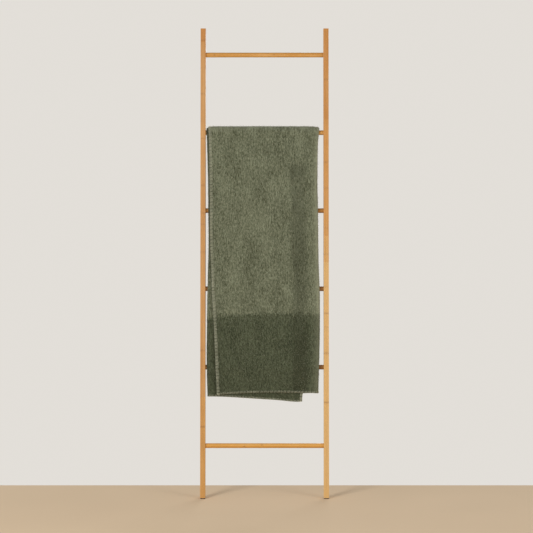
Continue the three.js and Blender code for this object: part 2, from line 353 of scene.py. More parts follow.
def wool():
    """Brushed heather wool. The attribute "cloth" holds each point's place on the flat sheet, in metres."""
    s = Shader("wool")
    cloth = s.node("Attribute", attribute_name="cloth").outputs["Vector"]
    across, along, side = s.parts(cloth)
    flecks = s.noise(s.scaled(cloth, (250.0, 98.0, 7.0)), 1.0, 3.0, 0.62, 0.6)
    streaks = s.noise(s.scaled(cloth, (170.0, 24.0, 6.0)), 1.0, 2.0, 0.5, 0.4)
    tufts = s.noise(s.scaled(cloth, (620.0, 460.0, 9.0)), 1.0, 2.0, 0.6, 0.8)
    hairs = s.noise(s.scaled(cloth, (2100.0, 650.0, 11.0)), 1.0, 2.0, 0.7, 1.2)
    patches = s.noise(s.scaled(cloth, (16.0, 7.0, 3.0)), 1.0, 3.0, 0.55)
    ends = s.math("MINIMUM", along, s.math("SUBTRACT", SHEET_LENGTH, along))
    coarse, fine = s.remap(flecks, 0.3, 0.7, -0.006, 0.006), s.remap(tufts, 0.3, 0.7, -0.003, 0.003)
    ends = s.math("ADD", ends, s.math("ADD", coarse, fine))
    dark = s.math("MULTIPLY", s.between(ends, BORDER + 0.008, BORDER - 0.008), 0.86)
    dark = s.math("ADD", dark, s.math("MULTIPLY", s.between(ends, BORDER, BORDER - 0.05), 0.14))
    tone = s.math("ADD", s.math("MULTIPLY", flecks, 0.44), s.math("MULTIPLY", tufts, 0.26))
    tone = s.math("ADD", tone, s.math("MULTIPLY", hairs, 0.15))
    tone = s.math("ADD", tone, s.math("MULTIPLY", streaks, 0.15))
    tone = s.math("ADD", tone, s.remap(patches, 0.3, 0.7, -0.03, 0.03))
    heather = s.between(tone, 0.375, 0.635)
    colour = s.mix(dark, s.mix(heather, *FIELD_WOOL), s.mix(heather, *BORDER_WOOL))
    # painted light from the mesh: below 0 painted shade darkens the wool, above 0 a painted highlight makes
    # it paler
    nap = s.node("Attribute", attribute_name="nap").outputs["Fac"]
    colour = s.mix(s.math("MULTIPLY", nap, -0.33, clamp=True), colour, PAINTED_SHADE_WOOL)
    colour = s.mix(s.math("MULTIPLY", nap, 0.22, clamp=True), colour, PAINTED_LIGHT_WOOL)
    # stray undyed and brown hairs of the heather
    stray = s.noise(s.scaled(cloth, (480.0, 190.0, 5.0)), 1.0, 1.0, 0.5, 2.0)
    colour = s.mix(s.math("MULTIPLY", s.between(stray, 0.62, 0.72), 0.44), colour, UNDYED_HAIR)
    colour = s.mix(s.math("MULTIPLY", s.between(stray, 0.34, 0.26), 0.30), colour, BROWN_HAIR)
    s.set(Base_Color=colour, Sheen_Weight=0.22, Sheen_Roughness=0.6, Sheen_Tint=(0.75, 0.78, 0.62))
    s.set(Roughness=s.remap(tufts, 0.3, 0.7, 0.88, 1.0), Specular_IOR_Level=0.15)
    height = s.math("ADD", s.math("MULTIPLY", flecks, 1.0), s.math("MULTIPLY", tufts, 0.7))
    height = s.math("ADD", height, s.math("MULTIPLY", hairs, 0.25))
    s.set(Normal=s.bump(height, 0.75, 0.0022))
    return s.material


def yarn():
    """Pale two-ply yarn of the whipstitch."""
    s = Shader("yarn")
    place = s.node("TexCoord").outputs["Object"]
    fuzz = s.noise(place, 1400.0, 3.0, 0.7, 1.0)
    drift = s.noise(place, 26.0, 2.0, 0.5)
    tone = s.math("ADD", s.math("MULTIPLY", fuzz, 0.6), s.math("MULTIPLY", drift, 0.4))
    s.set(Base_Color=s.mix(s.between(tone, 0.35, 0.65), (0.235, 0.243, 0.165), (0.48, 0.49, 0.37)))
    s.set(Roughness=s.remap(fuzz, 0.3, 0.7, 0.85, 1.0), Sheen_Weight=0.25, Sheen_Roughness=0.5)
    s.set(Normal=s.bump(fuzz, 0.7, 0.0006))
    return s.material


# ---------------------------------------------------------------- mesh helpers

def mesh_piece(name, points, faces, material, smooth=True):
    mesh = bpy.data.meshes.new(name)
    mesh.from_pydata([tuple(p) for p in points], [], [tuple(f) for f in faces])
    mesh.materials.append(material)
    mesh.polygons.foreach_set("use_smooth", [smooth] * len(mesh.polygons))
    mesh.update()
    piece = bpy.data.objects.new(name, mesh)
    bpy.context.scene.collection.objects.link(piece)
    return piece


def fix_normals(piece, sharp=None):
    """Turns the faces outward. With an angle, edges sharper than it are kept hard."""
    work = bmesh.new()
    work.from_mesh(piece.data)
    bmesh.ops.recalc_face_normals(work, faces=work.faces)
    if sharp is not None:
        for edge in work.edges:
            edge.smooth = len(edge.link_faces) == 2 and edge.calc_face_angle(0) < sharp
    work.to_mesh(piece.data)
    work.free()


def keep_values(piece, name, kind, values):
    """Stores an attribute for the materials to read, one value or vector for each point."""
    attribute = piece.data.attributes.new(name, kind, "POINT")
    field = "vector" if kind == "FLOAT_VECTOR" else "value"
    attribute.data.foreach_set(field, np.asarray(values, np.float32).ravel())


def keep_map(piece, uv):
    """Stores the map that the material is baked through, one place for each corner of each face."""
    layer = piece.data.uv_layers.new(name="OFBake")
    layer.uv.foreach_set("vector", np.asarray(uv, np.float32).ravel())


LATTICE = 1024  # lumps after which the random values repeat


def lattice_noise(u, v, cell_u, cell_v, seed):
    """Smooth random values from -1 to 1 at the places (u, v), with lumps of about the given size."""
    table = np.random.default_rng(seed).uniform(-1, 1, (LATTICE, LATTICE))
    a, b = np.asarray(u) / cell_u + 300.0, np.asarray(v) / cell_v + 300.0
    i, j = np.floor(a).astype(int), np.floor(b).astype(int)
    f, g = a - i, b - j
    f, g = f * f * (3 - 2 * f), g * g * (3 - 2 * g)
    i, j, k, m = i % LATTICE, j % LATTICE, (i + 1) % LATTICE, (j + 1) % LATTICE
    low = table[i, j] * (1 - f) + table[k, j] * f
    high = table[i, m] * (1 - f) + table[k, m] * f
    return low * (1 - g) + high * g


def smoothstep(x, low, high):
    t = np.clip((np.asarray(x, float) - low) / (high - low), 0, 1)
    return t * t * (3 - 2 * t)


def through(points, x):
    """A smooth line through a few chosen (x, y) points."""
    xs, ys = np.array(points, float).T
    slopes = np.gradient(ys, xs)
    x = np.clip(np.asarray(x, float), xs[0], xs[-1])
    k = np.clip(np.searchsorted(xs, x, side="right") - 1, 0, len(xs) - 2)
    step = xs[k + 1] - xs[k]
    t = (x - xs[k]) / step
    return (ys[k] * (1 + 2 * t) * (1 - t) ** 2 + ys[k + 1] * t * t * (3 - 2 * t)
            + slopes[k] * step * t * (1 - t) ** 2 + slopes[k + 1] * step * t * t * (t - 1))


# ---------------------------------------------------------------- rungs

RUNG_SIDES = 64
RUNG_CHAMFER = 0.0008
RUNG_STATIONS = 241
INSERT_GAP, BORE_SPARE = 0.0003, 0.003  # round the insert, and beyond its inner end
HARD_EDGE = math.radians(35)


def rung_outline(number, half):
    """(x, radius) along the dowel's outer face, slightly swollen at each ring of its bamboo."""
    stations = np.linspace(RUNG_CHAMFER - half, half - RUNG_CHAMFER, RUNG_STATIONS)
    ring = 0.5 + 0.5 * np.cos(2 * np.pi * (stations + 0.031 * number) / 0.17)
    swell = 0.00012 * ring ** 40 + 0.00005 * lattice_noise(stations, stations * 0, 0.05, 1, 40 + number)
    return [(x, RUNG_RADIUS - 0.00012 + s) for x, s in zip(stations, swell)]


def rung(number, material):
    """A turned dowel, bored at both ends for its insert, with the faint rings of its bamboo nodes."""
    low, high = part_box(f"rung_{number}")
    insert_low, insert_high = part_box(f"insert_right_{number}")
    bore_radius = (insert_high.z - insert_low.z) / 2 + INSERT_GAP
    bore_end = insert_low.x - BORE_SPARE
    y, z = rung_axis(number)
    half = high.x
    turned = [
        (-bore_end, bore_radius), (-half, bore_radius), (-half, RUNG_RADIUS - RUNG_CHAMFER),
        *rung_outline(number, half),
        (half, RUNG_RADIUS - RUNG_CHAMFER), (half, bore_radius), (bore_end, bore_radius),
    ]
    turn = np.linspace(0, 2 * np.pi, RUNG_SIDES, endpoint=False)
    points = [(x, y + r * math.cos(a), z + r * math.sin(a)) for x, r in turned for a in turn]
    index = np.arange(len(points)).reshape(len(turned), RUNG_SIDES)
    a, b = index[:-1], index[1:]
    faces = np.stack([a, np.roll(a, -1, 1), np.roll(b, -1, 1), b], axis=-1).reshape(-1, 4).tolist()
    faces += [index[0, ::-1].tolist(), index[-1].tolist()]
    piece = mesh_piece(f"bamboo_rung_{number}", points, faces, material)
    fix_normals(piece, HARD_EDGE)
    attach(piece, "ladder")
    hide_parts(f"rung_{number}")


# ---------------------------------------------------------------- the throw's shape

CLOTH = 0.0032  # thickness of the brushed cloth
PLY = 0.0044  # from one ply's middle to the next
INNER = 0.0021  # from the rung's surface to the innermost ply's middle
WRAP = RUNG_RADIUS + INNER + PLY  # radius of the middle ply round the rung
FRONT_ARC = WRAP * (math.pi / 2 - LEAN)
SLOPE_RUN = float(np.linalg.norm(THROW_RUNG - LAST_RUNG))
TOP_HEIGHT = 1.423  # height of the throw's rung along the rail
MEAN_HEM = 0.41  # about the height of the front hem along the rail
RIGHT_FOLD = 0.0056  # radius of the fold that closes round the middle panel
PRESSED_FOLD = 0.0031  # radius of the same fold where it is bent over the rung
LEFT_FOLD = PLY / 2
LOOSE = 0.36  # the plies lie this share looser where they bend over the rung
TURN_IN = 0.24  # angle at which the front panel climbs into its fold
RUNG_REST = 0.0055  # the cloth lies flat on a rung this far to each side of the contact
RUNG_PLAY = 0.0001  # left between the cloth and the rungs that it lies on
EDGE_LIFT = 0.0058  # how far the front panel's free edge stands off
FAR_LEFT = -0.2270  # the cloth stays right of this, so that it clears the rail when it slides

# (t, x): outlines against the length t along the cloth, from the top of the rung to the front hem
FRONT_EDGE = [
    (-0.75, -0.211), (-0.3, -0.213), (0, -0.2182), (0.065, -0.2146), (0.139, -0.2130), (0.30, -0.2106),
    (0.396, -0.2103), (0.486, -0.2084), (0.571, -0.2048), (0.68, -0.2008), (0.72, -0.1980),
    (0.86, -0.1912), (0.984, -0.1858), (1.03, -0.1835),
]
RIGHT_LINE = [
    (-0.75, 0.198), (-0.1, 0.2008), (-0.03, 0.208), (0, 0.213), (0.03, 0.2114), (0.06, 0.2086),
    (0.11, 0.207), (0.17, 0.2062), (0.24, 0.2058), (0.3, 0.2074), (0.38, 0.2082), (0.53, 0.21),
    (0.65, 0.2142), (0.78, 0.2148), (0.92, 0.212), (1.03, 0.2092),
]
LEFT_LINE = [
    (-0.76, -0.216), (-0.4, -0.219), (-0.05, -0.2238), (-0.015, -0.2262), (0, -0.2272),
    (0.014, -0.2276), (0.032, -0.2258), (0.065, -0.2246), (0.14, -0.2226), (0.2, -0.2208),
    (0.33, -0.2196), (0.47, -0.2186), (0.56, -0.2202), (0.65, -0.2227), (0.78, -0.2242),
    (0.93, -0.2248), (1.05, -0.222),
]
UNDER_EDGE = [
    (-0.75, 0.085), (0, 0.095), (0.16, 0.1), (0.5, 0.109), (0.75, 0.122), (0.92, 0.138), (1.02, 0.149),
    (1.06, 0.1452),
]
HOLLOW_LINE = [
    (-0.75, 0.085), (0.16, 0.1), (0.5, 0.104), (0.75, 0.11), (1.06, 0.112),
]


def reach(x, points):
    """Length along the cloth from the top of the rung to a hem, given its (x, height along the rail)."""
    return FRONT_ARC + TOP_HEIGHT - through(points, x)


def front_hem(x):
    return reach(x, [(-0.19, 0.4010), (-0.09, 0.4078), (0.03, 0.4108), (0.13, 0.4090), (0.21, 0.4075)])


def under_hem(x):
    return reach(x, [(-0.222, 0.3940), (-0.15, 0.3922), (-0.064, 0.3870), (0.052, 0.3795), (0.13, 0.3728),
                     (0.146, 0.3732)])


def hidden_hem(x):
    """The innermost panel's hem joins the other two at the folds."""
    share = (x + 0.22) / 0.43
    left, right = under_hem(np.array(-0.222)), front_hem(np.array(0.21))
    return left + (right - left) * share


def profile(t):
    """(y, z, normal y, normal z) of the middle ply at length t from the rung's top, positive in front."""
    t = np.asarray(t, float)
    bend = FRONT_ARC + SLOPE_RUN
    bend_arc = WRAP * LEAN
    angle = math.pi / 2 + np.clip(t / WRAP, -math.pi / 2, math.pi / 2 - LEAN)
    y = THROW_RUNG[0] + WRAP * np.cos(angle)
    z = THROW_RUNG[1] + WRAP * np.sin(angle)
    slope = np.clip(t - FRONT_ARC, 0, SLOPE_RUN)
    y = y - slope * UP_SLOPE[0]
    z = z - slope * UP_SLOPE[1]
    past = np.clip(t - bend, 0, None)
    turned = np.clip(past / WRAP, 0, LEAN)
    final = math.pi - LEAN + turned
    y = np.where(past > 0, LAST_RUNG[0] + WRAP * np.cos(final), y)
    z = np.where(past > 0, LAST_RUNG[1] + WRAP * np.sin(final) - np.clip(past - bend_arc, 0, None), z)
    angle = np.where(past > 0, final, angle)
    behind = np.clip(-t - WRAP * math.pi / 2, 0, None)
    z = z - behind
    return y, z, np.cos(angle), np.sin(angle)


def panel_columns():
    """The sheet's columns: (kind, share of the way along that stretch)."""
    stretches = [("front", 92), ("right_fold", 10), ("hidden", 22), ("left_fold", 8), ("under", 34)]
    columns = []
    for kind, count in stretches:
        shares = np.linspace(0, 1, count, endpoint=kind == "under")
        if kind in ("front", "under"):
            # closer columns near the free edge
            free = shares if kind == "front" else 1 - shares
            free = free ** 1.25
            shares = free if kind == "front" else 1 - free
        columns += [(kind, s) for s in shares]
    return columns


COLUMNS = panel_columns()
ROWS = 296


def row_lengths():
    """Distances along the sheet from the front hem, closer where the cloth wraps the rung."""
    hem = float(front_hem(np.array(0.0)))
    even = np.linspace(0, SHEET_LENGTH, 4001)
    density = 1 + 1.3 * np.exp(-(((even - hem) / 0.035) ** 2)) + 0.8 * np.exp(-(even / 0.02) ** 2)
    density = density + 0.8 * np.exp(-(((SHEET_LENGTH - even) / 0.02) ** 2))
    total = np.concatenate([[0], np.cumsum((density[1:] + density[:-1]) / 2)])
    return np.interp(np.linspace(0, total[-1], ROWS), total, even)


# the hem that each part of the folded sheet ends in
HEMS = {
    "front": front_hem, "right_fold": front_hem, "hidden": hidden_hem,
    "left_fold": under_hem, "under": under_hem,
}
HEM_SPAN = (-0.2195, 0.2100)  # the hems are drawn between these x


def outer_lines(t):
    """x of the middle of the cloth at the stack's left and right sides."""
    puff = 0.0022 * np.exp(-((t - 0.004) / 0.020) ** 2)
    left = np.maximum(through(LEFT_LINE, t) - puff, FAR_LEFT) + CLOTH / 2
    return left, through(RIGHT_LINE, t) - CLOTH / 2


def throw_middle():
    """The sheet's middle surface as arrays of rows by columns: points, and places on the flat sheet."""
    lengths = row_lengths()
    x, n = np.zeros((ROWS, len(COLUMNS))), np.zeros((ROWS, len(COLUMNS)))
    t = float(front_hem(np.array(0.0))) - lengths[:, None] + x
    # x depends on t, and through the sloping hems t depends on x
    for _ in range(3):
        for c, (kind, share) in enumerate(COLUMNS):
            x[:, c], n[:, c] = cross_section(kind, share, t[:, c], *outer_lines(t[:, c]))
            t[:, c] = HEMS[kind](np.clip(x[:, c], *HEM_SPAN)) - lengths
    n = n + relief(x, t)
    n = n * (1 + LOOSE * np.exp(-((t / 0.034) ** 2)))
    y, z, ny, nz = profile(t)
    y, z = y + (n - PLY) * ny, z + (n - PLY) * nz
    points = np.stack([x, y, z], axis=-1)
    widths = np.linalg.norm(np.diff(points, axis=1), axis=2)
    across = np.concatenate([np.zeros((ROWS, 1)), np.cumsum(widths, axis=1)], axis=1)
    along = np.broadcast_to(lengths[:, None], across.shape)
    return points, across, along


def resting(t):
    """1 where the stack lies on rungs 3 to 5, falling softly to 0 between them."""
    share = np.zeros(np.shape(t))
    for number in (3, 4, 5):
        contact = FRONT_ARC + float(np.linalg.norm(rung_axis(number) - THROW_RUNG))
        off = np.maximum(np.abs(t - contact) - RUNG_REST, 0)
        share = np.maximum(share, np.exp(-((off / 0.02) ** 2)))
    return share


def sag(t):
    """How far the front panel sinks beyond the hidden free edge: not over the rung, fully lower down."""
    return smoothstep(np.abs(t), 0.125, 0.165)


def cross_section(kind, share, t, left, right):
    """Place x and height n over the innermost ply for one column of the letter fold."""
    front = through(FRONT_EDGE, t)
    under = through(UNDER_EDGE, t)
    fold = RIGHT_FOLD - (RIGHT_FOLD - PRESSED_FOLD) * (1 - sag(t))
    right_centre, left_centre = right - fold, left + LEFT_FOLD
    if kind == "front":
        end = right_centre - fold * math.sin(TURN_IN)
        x = front + (end - front) * share
        trough = PLY * (2 - 0.85 * sag(t))
        n = trough + (2 * PLY - trough) * smoothstep(x, under + 0.024, under + 0.003)
        # beyond the trough the ply climbs, ever steeper, into the round fold
        start = under + 0.026
        climb = np.clip((x - start) / np.maximum(end - start, 0.01), 0, 1) ** (1.8 + 4.0 * (1 - sag(t)))
        n = n + (fold * (1 + math.cos(TURN_IN)) - n) * climb
        # the free edge stands off the cloth below
        free = smoothstep(np.abs(t), 0.06, 0.20) * (0.5 + 0.5 * smoothstep(np.abs(t), 0.1, 0.7))
        n = n + EDGE_LIFT * free * smoothstep(x, front + 0.026, front)
        n = n - 0.0016 * np.exp(-((t / 0.04) ** 2)) * smoothstep(x, front + 0.016, front + 0.002)
        return x, n
    if kind == "right_fold":
        a = np.pi * share - TURN_IN * (1 - share)
        return right_centre + fold * np.sin(a), fold + fold * np.cos(a)
    if kind == "hidden":
        return right_centre + (left_centre - right_centre) * share, np.zeros_like(t)
    if kind == "left_fold":
        a = np.pi * share
        return left_centre - LEFT_FOLD * np.sin(a), LEFT_FOLD - LEFT_FOLD * np.cos(a)
    x = left_centre + (under - left_centre) * share
    puffed = smoothstep(x, left + 0.012, left + 0.0055) * smoothstep(x, left + 0.0015, left + 0.0055)
    return x, PLY + 0.0012 * puffed


# storage creases: length along the cloth, from x, to x, depth
CREASES = [
    (0.155, 0.100, 0.22, 0.0013), (0.618, -0.02, 0.22, 0.0013), (0.655, -0.2, -0.05, 0.0008),
    (-0.42, -0.22, 0.22, 0.0012),
]


def relief(x, t):
    """Soft hollows and ridges that the hanging stack has all over, the same for every ply."""
    waves = 0.0011 * lattice_noise(x, t, 0.11, 0.34, 3) + 0.0005 * lattice_noise(x, t, 0.045, 0.16, 4)
    hanging = smoothstep(np.abs(t), 0.03, 0.16)
    wander = 0.004 * lattice_noise(x, t * 0, 0.07, 1, 50)
    creases = 0
    for at, low, high, depth in CREASES:
        within = smoothstep(x, low - 0.02, low + 0.02) * smoothstep(x, high + 0.02, high - 0.02)
        creases = creases + depth * np.exp(-(((t - at - wander) / 0.006) ** 2)) * within
    height = (waves - creases) * hanging
    # the stack can't sink into the rungs that it lies on
    return height + resting(t) * (RUNG_PLAY - np.minimum(height, 0))


def length_from_rung(along):
    """About the length t from the top of the rung, for a length along the sheet from its front hem."""
    return FRONT_ARC + TOP_HEIGHT - MEAN_HEM - along


def painted_light_and_shade(points, along):
    """Painted light and shade on the wool: about 1 and more for a painted highlight along the right fold
    and over the top of the rung, -1 and below for painted shade.
    """
    nap = np.zeros(along.shape)
    kinds = np.array([kind for kind, _ in COLUMNS])
    front = kinds == "front"
    t = length_from_rung(along[:, front])
    x = points[:, front, 0]
    right = through(RIGHT_LINE, t)
    # painted highlight (rim) growing towards the right fold, stronger in the paler field (light) than in
    # the border, and painted shade in the hollow that begins at start
    start = through(HOLLOW_LINE, t) + 0.006 * lattice_noise(t, t * 0, 0.085, 1, 32)
    rim = np.clip((x - right + 0.045) / 0.045, 0, 1) ** 1.6
    hollow = smoothstep(x, start - 0.008, start + 0.012) * smoothstep(x, right - 0.034, right - 0.056)
    hollow = hollow * sag(t) * (1 + 0.75 * smoothstep(t, 0.7, 0.9))
    light = smoothstep(along[:, front], BORDER - 0.02, BORDER + 0.02)
    nap[:, front] = rim + 0.8 * light * rim ** 3 - hollow * (1 + 0.25 * lattice_noise(x, t, 0.02, 0.06, 31))
    # painted highlight where the cloth bends over the top of the rung, as if lit from above
    nap[:, front] += 1.3 * np.exp(-(((t + 0.002) / 0.015) ** 2))
    # painted highlight on the right fold
    nap[:, kinds == "right_fold"] = 1.0 + 0.8 * light[:, -1:]
    # painted shade where the front panel overhangs the fold and the panel below it, and a painted shadow
    # under the front panel's hem
    for kind in ("left_fold", "under"):
        part = kinds == kind
        t = length_from_rung(along[:, part])
        gap = through(FRONT_EDGE, t) - points[:, part, 0]
        # painted shade along the fold under the front panel (folded), painted shade in the gap beside the
        # front panel's free edge (shaded), painted shadow below the front panel's hem (below)
        folded = 1.2 + 1.3 * np.exp(-((t / 0.04) ** 2))
        folded = folded * smoothstep(t, 0.62, 0.45) * smoothstep(t, -0.05, 0)
        shaded = 0.9 * np.exp(-((gap - 0.002) / 0.006) ** 2) * smoothstep(t, 0.5, 0.7)
        past = under_hem(points[:, part, 0]) - along[:, part] - front_hem(points[:, part, 0])
        below = (0.8 + 1.5 * np.exp(-((past - 0.001) / 0.005) ** 2)) * smoothstep(past, -0.006, 0)
        nap[:, part] = -(folded + shaded + below * smoothstep(gap, -0.002, -0.012))
    return nap


def normals_of(points):
    down = np.gradient(points, axis=0)
    over = np.gradient(points, axis=1)
    n = np.cross(over, down)
    return n / np.maximum(np.linalg.norm(n, axis=2, keepdims=True), 1e-12)


def sheet_points(points, normals, across, along):
    """The upper side's points and then the lower side's, with a lumpy pile and rounded edges."""
    rows, columns = across.shape
    pile = 0.00035 * lattice_noise(across, along, 0.009, 0.014, 7)
    pile = pile + 0.00018 * lattice_noise(across, along, 0.030, 0.055, 8)
    under_pile = 0.00035 * lattice_noise(across, along, 0.009, 0.014, 9)
    edge = np.minimum(np.minimum(np.arange(rows)[:, None], np.arange(rows)[::-1, None]), 3)
    edge = np.minimum(edge, np.minimum(np.arange(columns)[None], np.arange(columns)[None, ::-1]))
    rounded = np.array([0.45, 0.86, 1.0, 1.0])[edge]
    upper = points + normals * ((CLOTH / 2 + pile) * rounded)[..., None]
    lower = points - normals * ((CLOTH / 2 + under_pile) * rounded)[..., None]
    return np.concatenate([upper.reshape(-1, 3), lower.reshape(-1, 3)])


def sheet_edge(rows, columns):
    """The sheet's edge points in order, all the way round."""
    index = np.arange(rows * columns).reshape(rows, columns)
    return np.concatenate([index[0, :-1], index[:-1, -1], index[-1, :0:-1], index[:0:-1, 0]])


def sheet_faces(rows, columns):
    """Faces of the upper side, of the lower side and last of the rim, one for each edge point in order."""
    index = np.arange(rows * columns).reshape(rows, columns)
    corners = [index[:-1, :-1], index[:-1, 1:], index[1:, 1:], index[1:, :-1]]
    top = np.stack(corners, axis=-1).reshape(-1, 4)
    bottom = top[:, ::-1] + rows * columns
    loop = sheet_edge(rows, columns)
    after = np.roll(loop, -1)
    rim = np.stack([after, loop, loop + rows * columns, after + rows * columns], axis=-1)
    return np.concatenate([top, bottom, rim])


def make_throw(material):
    points, across, along = throw_middle()
    normals = normals_of(points)
    # the front panel's upper side has to face the viewer
    if normals[5, 20][1] > 0:
        normals = -normals
    solid = sheet_points(points, normals, across, along)
    piece = mesh_piece("wool_throw", solid, sheet_faces(*across.shape), material)
    fix_normals(piece)
    lay_flat(piece, across, along)
    place = np.stack([across.ravel(), along.ravel(), np.zeros(across.size)], axis=1)
    keep_values(piece, "cloth", "FLOAT_VECTOR", np.concatenate([place, place + [0, 0, 1.0]]))
    # painted light and shade of the wool, kept for both sides of the sheet
    nap = painted_light_and_shade(points, along)
    keep_values(piece, "nap", "FLOAT", np.concatenate([nap.ravel()] * 2))
    return piece, points, normals, across, along, nap


def lay_flat(piece, across, along):
    """A map for baking: the sheet's two sides next to each other, and its edges in a narrow strip."""
    mesh = piece.data
    rows, columns = across.shape
    half = rows * columns
    width, height = across.ravel() / across.max() * 0.47, along.ravel() / SHEET_LENGTH * 0.98
    flat = np.stack([width, height], axis=1) + 0.01
    places = np.concatenate([flat, flat + [0.49, 0]])
    corners = np.zeros(len(mesh.loops), int)
    mesh.loops.foreach_get("vertex_index", corners)
    faces = corners.reshape(-1, 4)
    uv = places[faces]
    sides = 2 * (rows - 1) * (columns - 1)
    edge = faces[sides:]
    count = len(edge)
    step = np.arange(count)[:, None]
    near = edge % half == sheet_edge(rows, columns)[:, None]
    uv[sides:, :, 0] = 0.982 + 0.012 * (edge >= half)
    uv[sides:, :, 1] = 0.01 + 0.98 * (step + 1 - near) / count
    keep_map(piece, uv)


# ---------------------------------------------------------------- whipstitch

STITCH_PITCH = 0.0055
YARN_SIDES = 6
# (depth of the stitches, radius of the yarn): along the hems they are drawn tighter than along the sides
STITCHES = {
    "front_hem": (0.0066, 0.00092), "back_hem": (0.0066, 0.00092),
    "front_edge": (0.0082, 0.00125), "under_edge": (0.0082, 0.00125),
}
STITCH_SEEDS = {"front_hem": 21, "back_hem": 22, "front_edge": 23, "under_edge": 24}


def edge_path(points, normals, which):
    """One edge of the sheet: its points, the way into the cloth, and its normals."""
    if which == "front_hem":
        line, inner, n = points[0], points[2], normals[0]
    elif which == "back_hem":
        line, inner, n = points[-1], points[-3], normals[-1]
    elif which == "front_edge":
        line, inner, n = points[:, 0], points[:, 2], normals[:, 0]
    else:
        line, inner, n = points[:, -1], points[:, -3], normals[:, -1]
    inward = inner - line
    return line, inward / np.linalg.norm(inward, axis=1, keepdims=True), n


def stitch_line(points, normals, which):
    """The yarn's own line: over the edge, down one face, through the cloth and up the other, and so on."""
    line, inward, n = edge_path(points, normals, which)
    lengths = np.concatenate([[0], np.cumsum(np.linalg.norm(np.diff(line, axis=0), axis=1))])
    count = int(lengths[-1] / STITCH_PITCH)
    rng = np.random.default_rng(STITCH_SEEDS[which])
    full_depth, yarn_radius = STITCHES[which]
    lift = CLOTH / 2 + yarn_radius * 0.9
    steps = [(1.0, lift * 0.25), (0.92, lift), (0.45, lift * 1.08), (0.02, lift * 0.98), (-0.16, 0.0),
             (0.02, -lift * 0.98), (0.45, -lift * 1.08), (0.92, -lift), (1.0, -lift * 0.25)]
    path = []
    for i in range(count):
        depth = full_depth * rng.uniform(0.86, 1.12)
        start = (i + 0.5 + rng.uniform(-0.10, 0.10)) * STITCH_PITCH
        for k, (inwards, up) in enumerate(steps):
            at = start + STITCH_PITCH * 0.55 * (k / (len(steps) - 1) - 0.5)
            here, way, normal = (
                np.array([np.interp(at, lengths, v[:, j]) for j in range(3)]) for v in (line, inward, n)
            )
            path.append(here + way * inwards * depth + normal * up)
    return np.array(path)


def tube(path, radius, sides):
    """Points and faces of a round tube along a line."""
    along = np.gradient(path, axis=0)
    along /= np.maximum(np.linalg.norm(along, axis=1, keepdims=True), 1e-12)
    guide = np.array([0.31, 0.17, 0.93])
    across = np.cross(along, guide)
    across /= np.maximum(np.linalg.norm(across, axis=1, keepdims=True), 1e-12)
    over = np.cross(along, across)
    turn = np.linspace(0, 2 * np.pi, sides, endpoint=False)
    ring = across[:, None] * np.cos(turn)[None, :, None] + over[:, None] * np.sin(turn)[None, :, None]
    points = path[:, None] + radius * ring
    index = np.arange(len(path) * sides).reshape(len(path), sides)
    a, b = index[:-1], index[1:]
    faces = np.stack([a, np.roll(a, -1, 1), np.roll(b, -1, 1), b], axis=-1).reshape(-1, 4)
    return points.reshape(-1, 3), faces, index


def make_stitches(points, normals, material):
    verts, faces, caps, start = [], [], [], 0
    for which in STITCHES:
        p, f, index = tube(stitch_line(points, normals, which), STITCHES[which][1], YARN_SIDES)
        verts.append(p)
        faces += (f + start).tolist()
        caps += [(index[0] + start).tolist()[::-1], (index[-1] + start).tolist()]
        start += len(p)
    piece = mesh_piece("whipstitch", np.concatenate(verts), faces + caps, material)
    fix_normals(piece)
    return piece


# ---------------------------------------------------------------- fuzz

FIBRES = 30000  # before those that would go into a rung are left out
FIBRE_RADIUS = 0.00011
FIBRE_ROOT = 0.0006  # depth of a fibre's root below the cloth's face
THIRDS = (0, 2.094, 4.189)  # of a turn
LEFT_SHOWN = -0.205  # the under panel shows left of this
FUZZ_REACH = (-0.2274, 0.2155)  # kept off the rails at both ends of the slide


def fuzz_density(points, along):
    """More loose fibres where the cloth bends or ends, where they show against the light."""
    kinds = np.array([kind for kind, _ in COLUMNS])
    t = length_from_rung(along)
    density = np.zeros(along.shape)
    front = kinds == "front"
    to_fold = np.abs(points[:, front, 0] - through(RIGHT_LINE, t[:, front]))
    density[:, front] = 0.10 + 1.2 * np.exp(-((to_fold / 0.012) ** 2))
    density[:, kinds == "right_fold"] = 1.6
    density[:, kinds == "left_fold"] = 1.6
    shown = (kinds == "under") & (points[along.shape[0] // 4, :, 0] < LEFT_SHOWN)
    density[:, shown] = 0.3
    density[:, front] += 1.3 * np.exp(-((t[:, front] / 0.022) ** 2))
    ends = np.minimum(along, SHEET_LENGTH - along)
    density[:, front] += 0.9 * np.exp(-((ends[:, front] / 0.008) ** 2))
    return density


def clear_of_rungs(root, middle, tip):
    """Which fibres stay out of all the rungs, tried at five places along each."""
    free = np.ones(len(root), bool)
    for place in (root, (root + middle) / 2, middle, (middle + tip) / 2, tip):
        for number in RUNGS:
            away = np.linalg.norm(place[:, 1:] - rung_axis(number), axis=1)
            free &= away > RUNG_RADIUS + 2 * FIBRE_RADIUS
    return free


def value_at(field, i, j, u, v):
    """A field's values in the sheet's cells (i, j), at the shares u along and v across them."""
    low = field[i, j] * (1 - v) + field[i, j + 1] * v
    return low * (1 - u) + (field[i + 1, j] * (1 - v) + field[i + 1, j + 1] * v) * u


def pick_places(rng, points, across, along):
    """Where the fibres grow: cells and places in them, as value_at takes them."""
    sizes = np.gradient(across, axis=1) * np.gradient(along, axis=0)
    weight = (fuzz_density(points, along) * sizes)[:-1, :-1].ravel()
    picked = rng.choice(weight.size, FIBRES, p=weight / weight.sum())
    i, j = np.divmod(picked, along.shape[1] - 1)
    return i, j, rng.random(FIBRES)[:, None], rng.random(FIBRES)[:, None]


